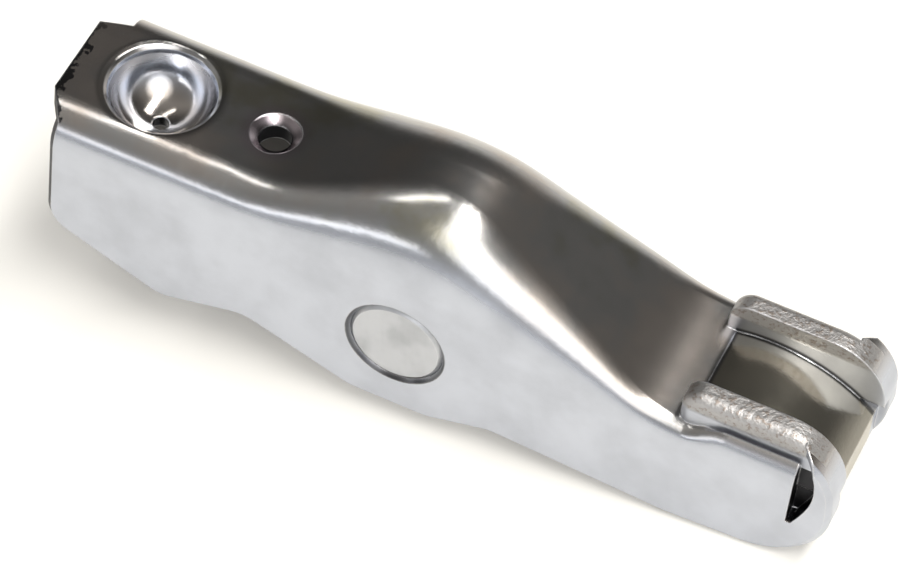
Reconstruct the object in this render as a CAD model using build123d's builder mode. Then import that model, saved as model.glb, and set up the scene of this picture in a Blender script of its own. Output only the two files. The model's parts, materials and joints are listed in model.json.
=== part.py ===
"""Roller rocker arm of the end-pivot kind: a pressed steel channel that carries a roller on needles.

The origin is the middle of the axle. X runs to the valve end, Y across the arm, and Z is up. The
arm is drawn with its flat web level, and then tipped until the roller and the toe of the channel
touch the same level, which is how it lies with its web upwards.
"""

from math import asin, atan2, cos, degrees, floor, hypot, pi, sin, sqrt

from build123d import *

# Channel, in mm
arm_width = 13.2
sheet = 1.9
inner_bend = 0.4

# Heights of the web's upper face above the axle, and the outer radius of its bends there
seat_height = 8.8
seat_corner = 2.8
hump_height = 12.0
hump_corner = 5.3
dip_height = 3.2
dip_corner = 1.2

# Places along the arm
tongue_x = -28.8
tongue_width = 7.0
tongue_root_width = 10.4
relief_x = -26.5
relief_y = 4.3
heel_x = -27.7
socket_x = -22.0
pilot_x = -13.1
ramp_x = -14.0
level_x = -18.0
hump_x = 0.4
dip_x = 21.6
nose_x = 28.6
end_x = 33.3

# Lower edge of the side walls: x, z and rounding of each corner, from the heel to the toe
lower_edge = [
    (heel_x, -2.0, 2.5),
    (-18.4, -5.65, 3.0),
    (-11.8, -3.95, 3.0),
    (-3.2, -6.85, 4.5),
    (3.0, -6.85, 4.5),
    (7.8, -5.5, 3.0),
    (21.5, -6.3, 6.0),
]
toe_radius = 6.2
toe_z = 0.2

# Valve seat: two upright cheeks, the shoulders of the walls outside them, and the pad between
cheek_x = 20.9
cheek_top = 6.0
cheek_foot = 1.4
cheek_gap = 7.4
cheek_thickness = 1.8
cheek_corner = 1.5
cheek_edge = 0.8
lobe_edge = 0.4
nose_radius = 4.6
shoulder_x = 25.0
shoulder_height = 4.5
shoulder_corner = 2.0
crease_width = 0.25
crease_depth = 0.9
pad_x = 24.5
pad_height = 3.5
pad_radius = 12.0
pad_end_x = 32.6

# Curved slot that parts each wall from the end lobe
slot_x = 30.2
slot_width = 1.5
slot_top = 4.9
slot_bulge = 3.2
slot_foot = -1.6
slot_foot_width = 0.4
slot_depth = 1.5
slot_flare = 1.27
slot_lean_top = (1, -0.3)
slot_lean_foot = (-0.5, -1)

# Ball socket and pilot hole in the seat
ball_radius = 3.9
socket_wall = 1.5
socket_rim = 0.7
rim_steps = 3
socket_floor = 0.9
dome_drop = 0.7
dome_sides = 20
oil_hole = 1.2
pilot_hole = 2.4
pilot_dish = 3.8
pilot_angle = 110

# Axle, needles and roller
axle_diameter = 7.2
axle_recess = 0.1
stake_groove = 0.3
needle_diameter = 1.6
needle_play = 0.02
needle_end_play = 0.15
roller_diameter = 17.0
roller_side_play = 0.3
roller_edge = 0.5
race_chamfer = 0.25

# How near counts as the same place when an edge is picked
near = 0.01

# A box placed by the middle of its first end
lengthwise = (Align.MIN, Align.CENTER, Align.CENTER)

# Worked out from the sizes above
half_width = arm_width / 2
inner_half = half_width - sheet
cheek_inner = cheek_gap / 2
cheek_outer = cheek_inner + cheek_thickness
axle_radius = axle_diameter / 2
needle_radius = needle_diameter / 2
pitch_radius = axle_radius + needle_radius + needle_play
race_radius = pitch_radius + needle_radius + needle_play
needle_count = floor(pi / asin((needle_radius + needle_play / 2) / pitch_radius))
roller_radius = roller_diameter / 2
roller_width = 2 * (inner_half - roller_side_play)
needle_length = roller_width - 2 * needle_end_play
toe_x = end_x - toe_radius
below = -2 * roller_radius
above = 2 * hump_height

rim_reach = sqrt((ball_radius + socket_rim) ** 2 - socket_rim**2)
rim_angle = degrees(asin(socket_rim / (ball_radius + socket_rim)))
dome_radius = ball_radius + socket_wall
bevel_share = 2 - sqrt(2)

# Tip that brings the toe down to the level of the roller
toe_reach = hypot(toe_x, toe_z)
rest_tip = degrees(asin((roller_radius - toe_radius) / toe_reach) + atan2(toe_z, toe_x))


def ease(share, bend):
    """Goes from 0 to 1: straight in the middle, and rounded over the share `bend` at each end."""
    if share < bend:
        return share**2 / (2 * bend * (1 - bend))
    if share > 1 - bend:
        return 1 - (1 - share) ** 2 / (2 * bend * (1 - bend))
    return (share - bend / 2) / (1 - bend)


def channel_section(x, height, corner, inset):
    """Draws a section across the channel, `inset` in from its outside: round outside, bevelled inside."""
    with BuildSketch(Plane.YZ.offset(x)) as section:
        with Locations((0, below)):
            Rectangle(arm_width - 2 * inset, height - inset - below, align=(Align.CENTER, Align.MIN))
        corners = section.vertices().group_by(Axis.Y)[-1]
        if inset:
            chamfer(corners, max(bevel_share * (corner - inset), inner_bend))
        else:
            fillet(corners, corner)
    return section.sketch.face()


def channel_sections(turns, inset):
    """Draws the sections along the channel, with the web easing from each turn to the next."""
    sections = []
    for (start, _, _), (finish, shares, bend) in zip(turns, turns[1:]):
        for share in shares:
            climb = ease(share, bend)
            sections.append(channel_section(
                start[0] + share * (finish[0] - start[0]),
                start[1] + climb * (finish[1] - start[1]),
                start[2] + climb * (finish[2] - start[2]),
                inset,
            ))
    return sections


# Turns of the web: x, height and bend radius, then the shares of the slope before it and how much bends
level = ((level_x, seat_height, seat_corner), (), 0)
seat = ((ramp_x, seat_height, seat_corner), (0, 0.5), 0.5)
hump = ((hump_x, hump_height, hump_corner), (0, 0.2, 0.4, 0.6, 0.8), 0.35)
dip = ((dip_x, dip_height, dip_corner), (0, 0.15, 0.3, 0.5, 0.7, 0.85, 1), 0.2)
inner_hump = (hump[0], (0, 0.3, 0.7), 0.35)
inner_dip = (dip[0], (0, 0.2, 0.8, 1), 0.2)
shoulder = ((shoulder_x, shoulder_height, shoulder_corner), (0, 0.25, 0.5, 0.75, 1), 0.5)

# The two cheeks that guide the valve stem, rounded along their outer edges
with BuildPart() as cheeks:
    with BuildSketch(Plane.XZ):
        with BuildLine():
            nose = CenterArc((nose_x, cheek_top - nose_radius), nose_radius, 90, -90)
            Polyline(nose @ 1, (nose_x + nose_radius, cheek_foot), (cheek_x, cheek_foot),
                     (cheek_x, cheek_top - cheek_corner))
            CenterArc((cheek_x + cheek_corner, cheek_top - cheek_corner), cheek_corner, 180, -90)
            Line((cheek_x + cheek_corner, cheek_top), nose @ 0)
        make_face()
    extrude(amount=cheek_outer, both=True)
    rounded_lines = cheeks.edges().filter_by(
        lambda edge: abs(abs(edge.center().Y) - cheek_outer) < near
        and edge.center().Z > cheek_top - nose_radius and edge.center().X > cheek_x + near
    )
    fillet(rounded_lines, cheek_edge)
    with Locations((cheek_x, 0, cheek_top)):
        Box(end_x - cheek_x, cheek_gap, 2 * cheek_top, align=(Align.MIN, Align.CENTER, Align.MAX),
            mode=Mode.SUBTRACT)

# Tongue of the web, which goes on past the walls
with BuildPart() as tongue:
    extrude(channel_section(tongue_x, seat_height, seat_corner, 0), heel_x + sheet - tongue_x)
    with BuildSketch(Plane.XY.offset(seat_height)):
        with BuildLine():
            Polyline((heel_x + sheet, -tongue_root_width / 2), (heel_x, -tongue_root_width / 2),
                     (tongue_x, -tongue_width / 2), (tongue_x, tongue_width / 2),
                     (heel_x, tongue_root_width / 2), (heel_x + sheet, tongue_root_width / 2), close=True)
        make_face()
    extrude(amount=-sheet, mode=Mode.INTERSECT)

with BuildPart() as arm_body:
    # Outside of the channel: level seat, ramp, hump and fall, then shoulders, and lobes at the end
    extrude(channel_section(heel_x, seat_height, seat_corner, 0), level_x - heel_x)
    loft(channel_sections((level, seat, hump, dip), 0))
    loft(channel_sections((dip, shoulder), 0))
    extrude(channel_section(shoulder_x, shoulder_height, shoulder_corner, 0), slot_x - shoulder_x)
    with Locations((slot_x, 0, cheek_top)):
        Box(end_x - slot_x, arm_width, cheek_top - below, align=(Align.MIN, Align.CENTER, Align.MAX))
    # Inside of the channel, one sheet thickness in
    extrude(channel_section(heel_x, seat_height, seat_corner, sheet), level_x - heel_x, mode=Mode.SUBTRACT)
    loft(channel_sections((level, seat, inner_hump, inner_dip), sheet), ruled=True, mode=Mode.SUBTRACT)
    with Locations((dip_x, 0, 0)):
        Box(end_x - dip_x, 2 * inner_half, 4 * above, align=lengthwise, mode=Mode.SUBTRACT)

    # Slot in each wall, between the shoulder and the lobe, whose top slants out from the cheek
    for face_y in (half_width, slot_depth - half_width):
        with BuildSketch(Plane.XZ.offset(face_y)):
            with BuildLine():
                top_line = Line((slot_x, slot_top), (slot_x + slot_foot_width, slot_top))
                bulge = Spline(
                    top_line @ 1, (slot_x + slot_width, slot_bulge),
                    (slot_x + slot_foot_width, slot_foot),
                    tangents=(slot_lean_top, slot_lean_foot),
                )
                Polyline(bulge @ 1, (slot_x, slot_foot), (slot_x, slot_top))
            make_face()
        extrude(amount=-slot_depth, mode=Mode.SUBTRACT)
    with BuildSketch(Plane.XY.offset(slot_bulge)):
        with BuildLine():
            Polyline((slot_x, half_width), (slot_x + slot_flare, half_width),
                     (slot_x, half_width - slot_flare), close=True)
        make_face()
        mirror(about=Plane.XZ)
    extrude(amount=above, mode=Mode.SUBTRACT)

    # Cheeks
    add(cheeks)
    with Locations((dip_x, 0, cheek_top)):
        Box(end_x - dip_x, cheek_gap, 4 * above, align=lengthwise, mode=Mode.SUBTRACT)

    # Convex pad for the valve stem's tip
    with BuildSketch(Plane.XZ):
        with Locations((pad_x, pad_height - pad_radius)):
            Circle(pad_radius)
            Circle(pad_radius - sheet, mode=Mode.SUBTRACT)
        with Locations(((dip_x + pad_end_x) / 2, pad_height)):
            Rectangle(pad_end_x - dip_x, 2 * pad_radius, mode=Mode.INTERSECT)
    extrude(amount=inner_half, both=True)

    # Side outline: lower edge, toe and nose
    with BuildSketch(Plane.XZ):
        with BuildLine():
            corners = [(x, z) for x, z, _ in lower_edge]
            edge_line = FilletPolyline(
                (heel_x, above), *corners, (toe_x, toe_z - toe_radius),
                radius=[rounding for _, _, rounding in lower_edge],
            )
            Polyline(edge_line @ 1, (nose_x, toe_z), (nose_x, above), edge_line @ 0)
        make_face()
        with Locations((toe_x, toe_z)):
            Circle(toe_radius)
        with Locations((nose_x, cheek_top - nose_radius)):
            Circle(nose_radius)
    extrude(amount=half_width, both=True, mode=Mode.INTERSECT)

    # Tongue of the web past the walls
    add(tongue)

    # Relief at the far corner of the web's end
    with BuildSketch(Plane.XY.offset(seat_height)):
        with BuildLine():
            Polyline((tongue_x, tongue_width / 2), (relief_x, relief_y), (relief_x, half_width),
                     (tongue_x, half_width), close=True)
        make_face()
    extrude(amount=-seat_corner, mode=Mode.SUBTRACT)

    # Creases outside the cheeks
    for side in (-1, 1):
        with Locations((cheek_x, side * (cheek_outer + crease_width / 2), shoulder_height)):
            Box(slot_x - cheek_x, crease_width, 2 * crease_depth, align=lengthwise, mode=Mode.SUBTRACT)

    # Ball socket pressed down into the seat: its dome, its bowl with a stepped round rim, and its oil hole
    socket_axis = Axis((socket_x, 0, 0), (0, 0, 1))
    with BuildSketch(Plane.XZ):
        with Locations((socket_x, seat_height)):
            RegularPolygon(dome_radius, dome_sides)
        with Locations((socket_x, seat_height - dome_drop)):
            Rectangle(dome_radius, ball_radius + socket_floor - dome_drop, align=(Align.MIN, Align.MAX),
                      mode=Mode.INTERSECT)
    revolve(axis=socket_axis)
    with BuildSketch(Plane.XZ):
        with BuildLine():
            bowl = CenterArc((socket_x, seat_height), ball_radius, -90, 90 - rim_angle)
            rim = CenterArc((socket_x + rim_reach, seat_height - socket_rim), socket_rim,
                            180 - rim_angle, rim_angle - 90, mode=Mode.PRIVATE)
            Polyline(*[rim @ (step / rim_steps) for step in range(rim_steps + 1)],
                     (socket_x + rim_reach, seat_height + ball_radius),
                     (socket_x, seat_height + ball_radius), bowl @ 0)
        make_face()
    revolve(axis=socket_axis, mode=Mode.SUBTRACT)
    with Locations((socket_x, 0, seat_height)):
        Cylinder(oil_hole / 2, 4 * ball_radius, mode=Mode.SUBTRACT)

    # Pilot hole in its shallow dish
    with Locations((pilot_x, 0, seat_height)):
        CounterSinkHole(pilot_hole / 2, pilot_dish / 2, 2 * sheet, pilot_angle)

    # Bore for the axle
    Cylinder(axle_radius, arm_width, rotation=(90, 0, 0), mode=Mode.SUBTRACT)
    bore_rims = arm_body.edges().filter_by(GeomType.CIRCLE).filter_by(
        lambda edge: abs(edge.radius - axle_radius) < near and abs(edge.center().Y) > half_width - near
    )
    chamfer(bore_rims, stake_groove)

    # Broken edges round the lobes and under the walls
    lobe_lines = arm_body.edges().filter_by(GeomType.CIRCLE).filter_by(
        lambda edge: abs(edge.center().Y) > half_width - near and edge.center().X > slot_x + slot_width
    )
    chamfer(lobe_lines, lobe_edge)
arm_body.part = arm_body.part.rotate(Axis.Y, rest_tip)
arm_body.part.label = "arm_body"
export_step(arm_body.part, "parts/arm_body.step")

# Axle, staked at both ends
with BuildPart() as axle:
    Cylinder(axle_radius, arm_width - 2 * axle_recess, rotation=(90, 0, 0))
    chamfer(axle.edges().filter_by(GeomType.CIRCLE), stake_groove)
axle.part.label = "axle"
export_step(axle.part, "parts/axle.step")

# Roller, hollow, with its rims rounded
with BuildPart() as roller:
    Cylinder(roller_radius, roller_width, rotation=(90, 0, 0))
    chamfer(roller.edges().filter_by(GeomType.CIRCLE), roller_edge)
    Cylinder(race_radius, roller_width, rotation=(90, 0, 0), mode=Mode.SUBTRACT)
    bore_lines = roller.edges().filter_by(GeomType.CIRCLE).filter_by(
        lambda edge: edge.radius < race_radius + near
    )
    chamfer(bore_lines, race_chamfer)
roller.part.label = "roller"
export_step(roller.part, "parts/roller.step")

# Full complement of needles between the axle and the roller
for index in range(needle_count):
    turn = 2 * pi * index / needle_count
    with BuildPart() as needle:
        with Locations((pitch_radius * sin(turn), 0, pitch_radius * cos(turn))):
            Cylinder(needle_radius, needle_length, rotation=(90, 0, 0))
    needle.part.label = f"needle_{index + 1:02d}"
    export_step(needle.part, f"parts/{needle.part.label}.step")
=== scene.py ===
"""Looks for the roller rocker arm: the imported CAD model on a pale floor, seen from the photo's angle."""

import json
from math import atan2, cos, radians, sin

import bpy
from mathutils import Matrix, Vector


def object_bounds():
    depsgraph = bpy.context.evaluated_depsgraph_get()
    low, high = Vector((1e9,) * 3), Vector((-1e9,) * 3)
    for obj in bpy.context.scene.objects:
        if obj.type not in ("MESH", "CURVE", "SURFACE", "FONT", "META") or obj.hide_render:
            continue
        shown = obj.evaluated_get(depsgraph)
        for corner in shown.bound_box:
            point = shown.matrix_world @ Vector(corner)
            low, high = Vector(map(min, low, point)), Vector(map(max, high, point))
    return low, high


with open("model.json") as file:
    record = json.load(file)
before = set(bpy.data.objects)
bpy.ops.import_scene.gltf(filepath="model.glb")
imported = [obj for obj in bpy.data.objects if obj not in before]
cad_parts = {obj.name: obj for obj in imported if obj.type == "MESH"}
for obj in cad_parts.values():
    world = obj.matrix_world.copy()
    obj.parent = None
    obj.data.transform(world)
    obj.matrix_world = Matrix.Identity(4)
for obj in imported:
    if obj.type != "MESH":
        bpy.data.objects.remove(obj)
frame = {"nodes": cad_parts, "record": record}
cad_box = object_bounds()
nodes = frame["nodes"]
mounts = {mount["name"]: mount for mount in frame["record"]["mounts"]}

# Places on the arm, in metres in its own level frame, which the rest pose tips about the axle
MM = 0.001
HALF_WIDTH = 6.6 * MM
INNER_HALF = 4.7 * MM
SOCKET_FLOOR = 5.0 * MM
CHEEK_X = 20.9 * MM
CHEEK_INNER = 3.7 * MM
CHEEK_OUTER = 5.5 * MM
SHOULDER_TOP = 4.5 * MM
PAD_START = 21.6 * MM
PAD_RADIUS = 12.0 * MM
PAD_CENTRE = (24.5 * MM, 0, -8.5 * MM)
HEEL_X = -26.9 * MM
SLOT_X = (30.15 * MM, 32.0 * MM)
SLOT_Z = (-1.7 * MM, 3.4 * MM)
AXLE_RADIUS = 3.6 * MM
PILOT_PLACE = (-13.1 * MM, 0, 7.6 * MM)
PILOT_DISH = 1.9 * MM
TINT_REACH = 3.4 * MM
SOCKET_SURFACE = (4.3 * MM, 5.0 * MM)
OIL_HOLE_TOP = (3.92 * MM, 4.0 * MM)
OIL_HOLE_FOOT = (4.9 * MM, 5.0 * MM)
WEB_END = ((-28.8 * MM, 3.5 * MM), (-27.7 * MM, 5.2 * MM))
socket_up = Vector(mounts["ball_socket"]["axis"])
tip = atan2(socket_up.x, socket_up.z)
level = Matrix.Rotation(-tip, 3, "Y")
socket_place = level @ Vector(mounts["ball_socket"]["pos_m"])

# Camera: angles of the view, distance and field, and the offset that frames the part
AZIMUTH = radians(24.5)
ELEVATION = radians(49.0)
DISTANCE = 0.350
OFFSET_RIGHT = 0.003922
OFFSET_UP = 0.004155
LENS = 198.1
SENSOR = 36.0
CLIP_START = 0.01
WALL_Y = -HALF_WIDTH


class Graph:
    """A material's node tree, with short calls for the nodes that the looks below are built from."""

    def __init__(self, name, tree=None):
        if tree is None:
            self.material = bpy.data.materials.new(name)
            self.material.use_nodes = True
            tree = self.material.node_tree
        self.tree = tree
        self.tree.nodes.clear()

    def node(self, kind, inputs=(), **settings):
        made = self.tree.nodes.new(kind)
        for key, value in settings.items():
            setattr(made, key, value)
        for key, value in dict(inputs).items():
            socket = made.inputs[key]
            if isinstance(value, bpy.types.NodeSocket):
                self.tree.links.new(value, socket)
            elif socket.type == "RGBA":
                socket.default_value = (*value, 1)
            else:
                socket.default_value = value
        return made

    def math(self, operation, first, second=0.0):
        return self.node("ShaderNodeMath", {0: first, 1: second}, operation=operation).outputs[0]

    def add(self, first, second):
        return self.math("ADD", first, second)

    def times(self, first, second):
        return self.math("MULTIPLY", first, second)

    def biggest(self, first, *rest):
        for other in rest:
            first = self.math("MAXIMUM", first, other)
        return first

    def ramp(self, value, low, high, to_low=0.0, to_high=1.0):
        """Goes smoothly from to_low at `low` to to_high at `high`, and stays there beyond them."""
        made = self.node(
            "ShaderNodeMapRange",
            {"Value": value, "From Min": low, "From Max": high, "To Min": to_low, "To Max": to_high},
            interpolation_type="SMOOTHSTEP",
        )
        return made.outputs["Result"]

    def band(self, value, low, high, soft):
        """Is 1 between low and high, and falls off over `soft` outside them."""
        return self.times(self.ramp(value, low - soft, low), self.ramp(value, high, high + soft, 1, 0))

    def mix(self, share, first, second):
        """Mixes two colours."""
        return self.node("ShaderNodeMix", {0: share, 6: first, 7: second}, data_type="RGBA").outputs[2]

    def mix_values(self, share, first, second):
        return self.node("ShaderNodeMix", {0: share, 2: first, 3: second}, data_type="FLOAT").outputs[0]

    def noise(self, place, scale, detail=3.0, roughness=0.55, stretch=(1, 1, 1)):
        if stretch != (1, 1, 1):
            place = self.node("ShaderNodeMapping", {"Vector": place, "Scale": stretch}).outputs[0]
        made = self.node(
            "ShaderNodeTexNoise",
            {"Vector": place, "Scale": scale, "Detail": detail, "Roughness": roughness},
        )
        return made.outputs["Fac"]

    def axes(self, vector):
        return self.node("ShaderNodeSeparateXYZ", {0: vector}).outputs

    def turned(self, vector, angle):
        """Turns a vector about the Y axis."""
        return self.node("ShaderNodeMapping", {"Vector": vector, "Rotation": (0, angle, 0)}).outputs[0]

    def vector(self, operation, first, second=(0, 0, 0)):
        """Returns the outputs of a vector operation: 0 is its vector and 1 its value."""
        return self.node("ShaderNodeVectorMath", {0: first, 1: second}, operation=operation).outputs

    def bump(self, height, distance, strength=1.0, normal=None):
        inputs = {"Height": height, "Distance": distance, "Strength": strength}
        if normal is not None:
            inputs["Normal"] = normal
        return self.node("ShaderNodeBump", inputs).outputs[0]

    def worn_edge(self, radius):
        """Returns a normal rounded over the edges, and a mask of the edges that it rounds."""
        rounded = self.node("ShaderNodeBevel", {"Radius": radius}, samples=6).outputs[0]
        facing = self.node("ShaderNodeNewGeometry").outputs["Normal"]
        alike = self.vector("DOT_PRODUCT", rounded, facing)[1]
        return rounded, self.ramp(alike, 0.99, 0.90)

    def metal(self, colour, roughness, normal):
        shader = self.node("ShaderNodeBsdfPrincipled", {
            "Base Color": colour, "Roughness": roughness, "Normal": normal, "Metallic": 1.0,
        })
        self.node("ShaderNodeOutputMaterial", {"Surface": shader.outputs[0]})
        return self.material


# Roughness from the smoothest to the dullest patches
WALL_ROUGHNESS = (0.34, 0.44)
WEB_ROUGHNESS = (0.18, 0.26)
AXLE_ROUGHNESS = (0.36, 0.50)
BEARING_ROUGHNESS = (0.16, 0.28)

# Marks of each kind in a metre
PATCHES_PER_M = 90
CLOUDS_PER_M = 220
DRAWN_LINES_PER_M = 900
RAGGED_PER_M = 1100
PITS_PER_M = 2900
GRAIN_PER_M = 5200
GROUND_CLOUDS_PER_M = 260
GROUND_LINES_PER_M = 2600
GROUND_GRAIN_PER_M = 6000

# Depth of the wear that rounds the edges, and of the bumps
PRESSED_EDGE = 0.2 * MM
GROUND_EDGE = 0.12 * MM
DRAWN_DEPTH = 0.02 * MM
PIT_DEPTH = 0.12 * MM
GROUND_DEPTH = 0.01 * MM

# Colours, as linear RGB
WALL_STEEL = (0.525, 0.547, 0.600)
WALL_STEEL_DULL = (0.460, 0.478, 0.522)
WEB_STEEL = (0.420, 0.413, 0.398)
WEB_STEEL_WARM = (0.400, 0.350, 0.305)
WEB_STEEL_OLIVE = (0.390, 0.365, 0.275)
CHEEK_STEEL = (0.42, 0.405, 0.39)
FLECK_BROWN = (0.27, 0.225, 0.19)
PAD_OLIVE = (0.47, 0.43, 0.34)
PILOT_LILAC = (0.36, 0.29, 0.33)
SHEARED_STEEL = (0.065, 0.062, 0.060)
# Painted shade: near-black laid into the slot, the holes, the pad's foot crease and the seam round the axle
PAINTED_CREVICE_SHADE = (0.035, 0.035, 0.038)
CHANNEL_INSIDE_DARK = (0.130, 0.126, 0.122)
AXLE_STEEL = (0.50, 0.51, 0.53)
BEARING_STEEL = (0.62, 0.62, 0.63)
WORN_STEEL = (0.66, 0.66, 0.67)


def pressed_steel():
    """Tumbled pressing: pale satin walls, a smoother darker web, rough cheek tops and black sheared ends,
    with painted shade in the slot, the holes, the crease at the pad's foot and the seam round the axle.
    """
    g = Graph("pressed_steel")
    coordinates = g.node("ShaderNodeTexCoord").outputs
    place = g.turned(coordinates["Object"], -tip)
    facing = g.turned(coordinates["Normal"], -tip)
    x, y, z = g.axes(place)
    facing_x, _, facing_z = g.axes(facing)
    across = g.math("ABSOLUTE", y)
    side_place = g.vector("MULTIPLY", place, (1, 0, 1))[0]

    # Where each finish is, and where shade is painted
    upward = g.ramp(facing_z, 0.45, 0.85)
    cheek = g.band(across, CHEEK_INNER, CHEEK_OUTER, 0.1 * MM)
    cheek = g.times(g.ramp(x, CHEEK_X - 0.2 * MM, CHEEK_X), cheek)
    cheek = g.times(cheek, g.ramp(z, SHOULDER_TOP, SHOULDER_TOP + 0.4 * MM))
    from_pad = g.vector("DISTANCE", side_place, PAD_CENTRE)[1]
    between = g.ramp(across, CHEEK_INNER - 0.05 * MM, CHEEK_INNER - 0.01 * MM, 1, 0)
    pad = g.times(g.ramp(x, PAD_START, PAD_START + 0.4 * MM), between)
    # Painted shade: a dark line in the crease where the pad meets the cheeks and steps down from the web
    pad_foot_shade = g.times(g.band(from_pad, PAD_RADIUS - 0.1 * MM, PAD_RADIUS + 0.2 * MM, 0.25 * MM),
                   g.band(across, CHEEK_INNER - 0.15 * MM, CHEEK_INNER + 0.05 * MM, 0.2 * MM))
    pad_foot_shade = g.times(pad_foot_shade, g.ramp(x, PAD_START - 0.1 * MM, PAD_START))
    step_down = g.band(x, PAD_START - 0.1 * MM, PAD_START + 0.1 * MM, 0.3 * MM)
    pad_foot_shade = g.biggest(pad_foot_shade, g.times(between, step_down))
    sheared = g.times(g.ramp(x, HEEL_X, HEEL_X + 0.6 * MM, 1, 0), g.ramp(facing_x, -0.3, -0.8))
    # Painted shade: the blind slot in the wall is coloured near-black as the shade inside it
    slot_shade = g.times(g.times(g.band(x, *SLOT_X, 0.05 * MM), g.band(z, *SLOT_Z, 0.05 * MM)),
                   g.band(across, CHEEK_OUTER - 0.5 * MM, HALF_WIDTH - 0.35 * MM, 0.25 * MM))
    from_axle = g.vector("LENGTH", side_place)[1]
    on_wall = g.ramp(across, HALF_WIDTH - 0.5 * MM, HALF_WIDTH - 0.1 * MM)
    # Painted shade: a dark band in the seam round the axle end
    axle_seam_shade = g.times(g.band(from_axle, AXLE_RADIUS - 0.2 * MM, AXLE_RADIUS + 0.28 * MM, 0.06 * MM), on_wall)
    halo = g.times(g.band(from_axle, AXLE_RADIUS, AXLE_RADIUS + 0.8 * MM, 0.7 * MM), on_wall)
    from_socket = g.vector("DISTANCE", place, tuple(socket_place))[1]
    socket = g.ramp(from_socket, *SOCKET_SURFACE, 1, 0)
    from_pilot = g.vector("DISTANCE", place, PILOT_PLACE)[1]
    # Painted shade: the inside of the pilot hole is coloured near-black
    pilot_hole_shade = g.ramp(from_pilot, 1.25 * MM, PILOT_DISH, 1, 0)
    # A lilac tint that fades out round the pilot hole
    tint = g.ramp(from_pilot, PILOT_DISH, TINT_REACH, 1, 0)

    # The channel's inner faces, back from the cheeks and the socket, are coloured dark and made rougher
    inside = g.ramp(across, INNER_HALF + 0.02 * MM, INNER_HALF + 0.06 * MM, 1, 0)
    inside = g.times(inside, g.ramp(facing_z, 0.3, 0.1))
    inside = g.times(inside, g.ramp(x, CHEEK_X - 0.5 * MM, CHEEK_X, 1, 0))
    inside = g.times(inside, g.ramp(from_socket, 5.1 * MM, 5.3 * MM))
    # Painted shade: the wall of the socket's oil hole is coloured near-black
    oil_hole_shade = g.times(g.ramp(from_socket, *OIL_HOLE_TOP), g.ramp(from_socket, *OIL_HOLE_FOOT, 1, 0))
    oil_hole_shade = g.times(oil_hole_shade, g.ramp(z, SOCKET_FLOOR - 0.1 * MM, SOCKET_FLOOR, 1, 0))

    # Wear along the edges, and cloudy wear and scratches of several sizes
    rounded, worn = g.worn_edge(PRESSED_EDGE)
    clouds = g.noise(place, CLOUDS_PER_M, 4)
    patches = g.noise(place, PATCHES_PER_M, 5, 0.6)
    drawn = g.noise(place, DRAWN_LINES_PER_M, 3, 0.6, stretch=(0.12, 1, 1))
    grain = g.noise(place, GRAIN_PER_M, 2, 0.6)
    pits = g.noise(place, PITS_PER_M, 3, 0.65)
    ragged = g.noise(place, RAGGED_PER_M, 3, 0.6)

    # Black line along the web's left end, coloured on its top face and ragged in width
    (tongue_x, tongue_y), (heel_x, heel_y) = WEB_END
    slant = g.ramp(across, tongue_y, heel_y)
    to_end = g.math("SUBTRACT", x, g.add(g.times(slant, heel_x - tongue_x), tongue_x))
    end_line_width = g.ramp(ragged, 0.36, 0.66, 0.14 * MM, 0.8 * MM)
    end_line = g.times(g.math("LESS_THAN", to_end, end_line_width), g.ramp(y, 1.5 * MM, 4.5 * MM, 1, 0.4))
    end_line = g.times(end_line, upward)

    wall_colour = g.mix(g.ramp(clouds, 0.3, 0.8), WALL_STEEL, WALL_STEEL_DULL)
    warm = g.times(g.ramp(patches, 0.42, 0.62), 0.8)
    olive = g.times(g.ramp(patches, 0.48, 0.36), 0.8)
    web_colour = g.mix(olive, g.mix(warm, WEB_STEEL, WEB_STEEL_WARM), WEB_STEEL_OLIVE)
    colour = g.mix(upward, wall_colour, web_colour)
    colour = g.mix(g.times(pad, 0.8), colour, PAD_OLIVE)
    cheek_colour = g.mix(g.ramp(pits, 0.50, 0.66), CHEEK_STEEL, FLECK_BROWN)
    colour = g.mix(g.times(cheek, 0.85), colour, cheek_colour)
    # Painted shade in the crease at the pad's foot
    colour = g.mix(g.times(pad_foot_shade, 0.75), colour, PAINTED_CREVICE_SHADE)
    colour = g.mix(g.times(tint, 0.7), colour, PILOT_LILAC)
    # Darker colour on the channel's inner faces
    colour = g.mix(inside, colour, CHANNEL_INSIDE_DARK)
    # Painted shade in the pilot hole and in the socket's oil hole
    colour = g.mix(g.biggest(pilot_hole_shade, oil_hole_shade), colour, PAINTED_CREVICE_SHADE)
    colour = g.mix(end_line, colour, SHEARED_STEEL)
    colour = g.mix(g.times(halo, 0.25), colour, WALL_STEEL_DULL)
    # Painted shade in the seam round the axle end
    colour = g.mix(g.times(axle_seam_shade, 0.85), colour, PAINTED_CREVICE_SHADE)
    colour = g.mix(sheared, colour, SHEARED_STEEL)
    # Painted shade in the wall slot
    colour = g.mix(slot_shade, colour, PAINTED_CREVICE_SHADE)

    worn = g.times(worn, g.ramp(ragged, 0.35, 0.6, 0.35, 1))
    colour = g.mix(g.times(worn, 0.8), colour, WORN_STEEL)

    wall_roughness = g.ramp(clouds, 0.3, 0.7, *WALL_ROUGHNESS)
    web_roughness = g.ramp(patches, 0.3, 0.7, *WEB_ROUGHNESS)
    roughness = g.mix_values(g.ramp(facing_z, 0.2, 0.6), wall_roughness, web_roughness)
    roughness = g.add(roughness, g.times(cheek, 0.22))
    roughness = g.add(roughness, g.times(g.biggest(sheared, inside), 0.25))
    roughness = g.add(roughness, g.times(socket, -0.12))
    roughness = g.add(roughness, g.times(pad, -0.06))
    roughness = g.add(roughness, g.times(worn, -0.10))

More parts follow.
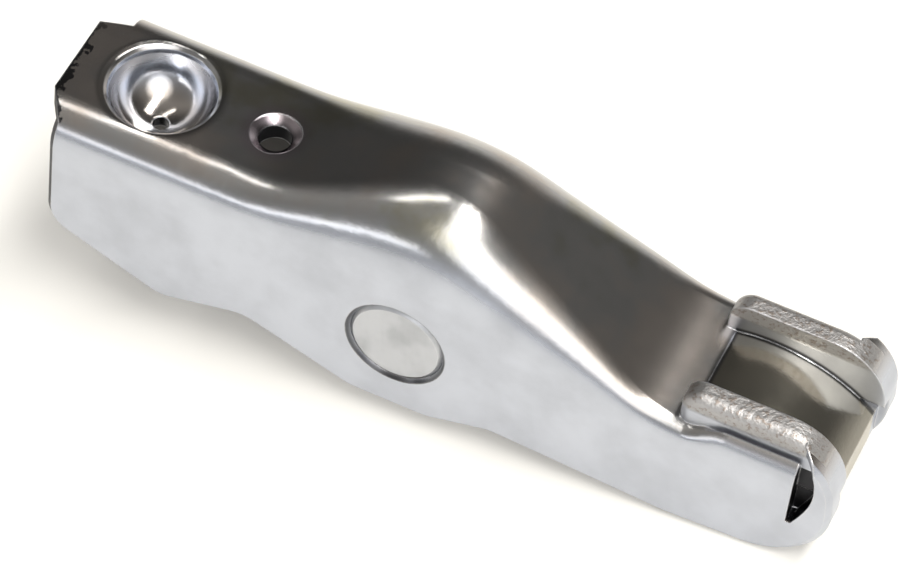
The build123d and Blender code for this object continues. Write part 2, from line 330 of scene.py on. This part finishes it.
    fine = g.add(g.times(drawn, 0.6), g.times(grain, 0.4))
    normal = g.bump(fine, DRAWN_DEPTH, 0.5, rounded)
    coarse = g.add(g.times(cheek, pits), g.times(g.times(sheared, pits), 2.0))
    normal = g.bump(coarse, PIT_DEPTH, 0.6, normal)
    return g.metal(colour, roughness, normal)


def ground_steel(name, colour, smooth_and_dull, stretch):
    """Ground steel, with fine lines along the directions that `stretch` makes small."""
    g = Graph(name)
    place = g.node("ShaderNodeTexCoord").outputs["Object"]
    lines = g.noise(place, GROUND_LINES_PER_M, 2, 0.5, stretch=stretch)
    clouds = g.noise(place, GROUND_CLOUDS_PER_M, 3)
    grain = g.noise(place, GROUND_GRAIN_PER_M, 2, 0.6)
    dulled = tuple(0.8 * part for part in colour)
    shade = g.mix(g.ramp(clouds, 0.35, 0.7), colour, dulled)
    roughness = g.ramp(g.add(g.times(lines, 0.5), g.times(clouds, 0.5)), 0.3, 0.7, *smooth_and_dull)
    rounded, worn = g.worn_edge(GROUND_EDGE)
    shade = g.mix(g.times(worn, 0.7), shade, WORN_STEEL)
    roughness = g.add(roughness, g.times(worn, -0.08))
    normal = g.bump(g.add(g.times(lines, 0.7), g.times(grain, 0.3)), GROUND_DEPTH, 0.5, rounded)
    return g.metal(shade, roughness, normal)


def dress(node_name, material):
    """Gives a CAD node its material."""
    slots = nodes[node_name].data.materials
    slots.clear()
    slots.append(material)


dress("arm_body", pressed_steel())
dress("axle", ground_steel("axle_steel", AXLE_STEEL, AXLE_ROUGHNESS, (1, 1, 0.2)))
bearing = ground_steel("bearing_steel", BEARING_STEEL, BEARING_ROUGHNESS, (0.1, 1, 0.1))
for node_name in nodes:
    if node_name == "roller" or node_name.startswith("needle"):
        dress(node_name, bearing)

# Camera
right = Vector((cos(AZIMUTH), sin(AZIMUTH), 0))
back = Vector((sin(AZIMUTH) * cos(ELEVATION), -cos(AZIMUTH) * cos(ELEVATION), sin(ELEVATION)))
up = back.cross(right)
camera_data = bpy.data.cameras.new("camera")
camera_data.lens = LENS
camera_data.sensor_width = SENSOR
camera_data.clip_start = CLIP_START
camera = bpy.data.objects.new("camera", camera_data)
bpy.context.scene.collection.objects.link(camera)
turn = Matrix((right, up, back)).transposed().to_4x4()
place = Vector((0, WALL_Y, 0)) + OFFSET_RIGHT * right + OFFSET_UP * up + DISTANCE * back
camera.matrix_world = Matrix.Translation(place) @ turn
bpy.context.scene.camera = camera

# Floor, which shows white where nothing shades it
FLOOR_SIZE = 4.0
FLOOR_COLOUR = (0.97, 0.935, 0.86)
FLOOR_GLOW = 0.15
bpy.ops.mesh.primitive_plane_add(size=FLOOR_SIZE, location=(0, 0, cad_box[0][2]))
floor = bpy.context.object
floor.name = "floor"
g = Graph("floor")
light_path = g.node("ShaderNodeLightPath").outputs
seen = g.biggest(light_path["Is Camera Ray"], light_path["Is Glossy Ray"], light_path["Is Transmission Ray"])
diffuse = g.node("ShaderNodeBsdfDiffuse", {"Color": FLOOR_COLOUR})
glow = g.node("ShaderNodeEmission", {"Color": (1, 1, 1), "Strength": 1.0})
glow_share = g.times(seen, FLOOR_GLOW)
blend = g.node("ShaderNodeMixShader", {0: glow_share, 1: diffuse.outputs[0], 2: glow.outputs[0]})
g.node("ShaderNodeOutputMaterial", {"Surface": blend.outputs[0]})
floor.data.materials.append(g.material)


def soft_box(name, place, size, power, aim=(0, 0, 0)):
    """Adds a soft box, `size` long and deep, that faces `aim`."""
    data = bpy.data.lights.new(name, "AREA")
    data.shape = "RECTANGLE"
    data.size, data.size_y = size
    data.energy = power
    lamp = bpy.data.objects.new(name, data)
    lamp.location = place
    lamp.rotation_euler = (Vector(aim) - Vector(place)).to_track_quat("-Z", "Y").to_euler()
    bpy.context.scene.collection.objects.link(lamp)


soft_box("key", (0.28, 0.00, 0.74), (0.80, 0.16), 5.4)
soft_box("edge", (-0.14, 0.13, 0.74), (0.50, 0.05), 0.6)

# World: pale round the horizon and greyer overhead, darkest behind the arm. In front are a dimmer stretch of
# horizon with a low window above it on the left, and a soft glow on the right
HORIZON = (1.15, 1.15, 1.15)
OVERHEAD = (0.14, 0.14, 0.14)
DARKEST = (0.05, 0.05, 0.05)
DIM_FRONT = (0.30, 0.30, 0.30)
WINDOW_LIGHT = (3.4, 3.4, 3.4)
GLOW_LIGHT = (3.6, 3.6, 3.6)
GLOW_DIRECTION = (0.46, -0.54, 0.70)
SKY_STRENGTH = 0.84
scene = bpy.context.scene
scene.view_settings.view_transform = "Standard"
world = bpy.data.worlds.new("world")
scene.world = world
world.use_nodes = True
g = Graph("world", world.node_tree)
sky = g.node("ShaderNodeTexCoord").outputs["Generated"]
sky_x, sky_y, sky_z = g.axes(sky)
height = g.ramp(sky_z, 0.02, 0.45)
behind = g.ramp(sky_y, -0.3, 0.5)
left = g.ramp(sky_x, 0.3, -0.6)
shade = g.mix(g.times(height, g.add(g.times(behind, 0.4), 0.6)), HORIZON, OVERHEAD)
shade = g.mix(g.times(g.times(height, behind), g.times(left, 0.7)), shade, DARKEST)
front_left = g.times(g.ramp(sky_x, 0.15, -0.25), g.ramp(sky_y, -0.1, -0.6))
shade = g.mix(g.times(front_left, 0.6), shade, DIM_FRONT)
window = g.times(g.band(sky_x, -0.60, -0.22, 0.15), g.ramp(sky_y, 0, -0.3))
window = g.times(g.band(sky_z, 0.33, 0.40, 0.07), window)
shade = g.mix(window, shade, WINDOW_LIGHT)
to_glow = g.vector("DOT_PRODUCT", sky, GLOW_DIRECTION)[1]
shade = g.mix(g.ramp(to_glow, 0.84, 0.98), shade, GLOW_LIGHT)
background = g.node("ShaderNodeBackground", {"Color": shade, "Strength": SKY_STRENGTH})
g.node("ShaderNodeOutputWorld", {"Surface": background.outputs[0]})
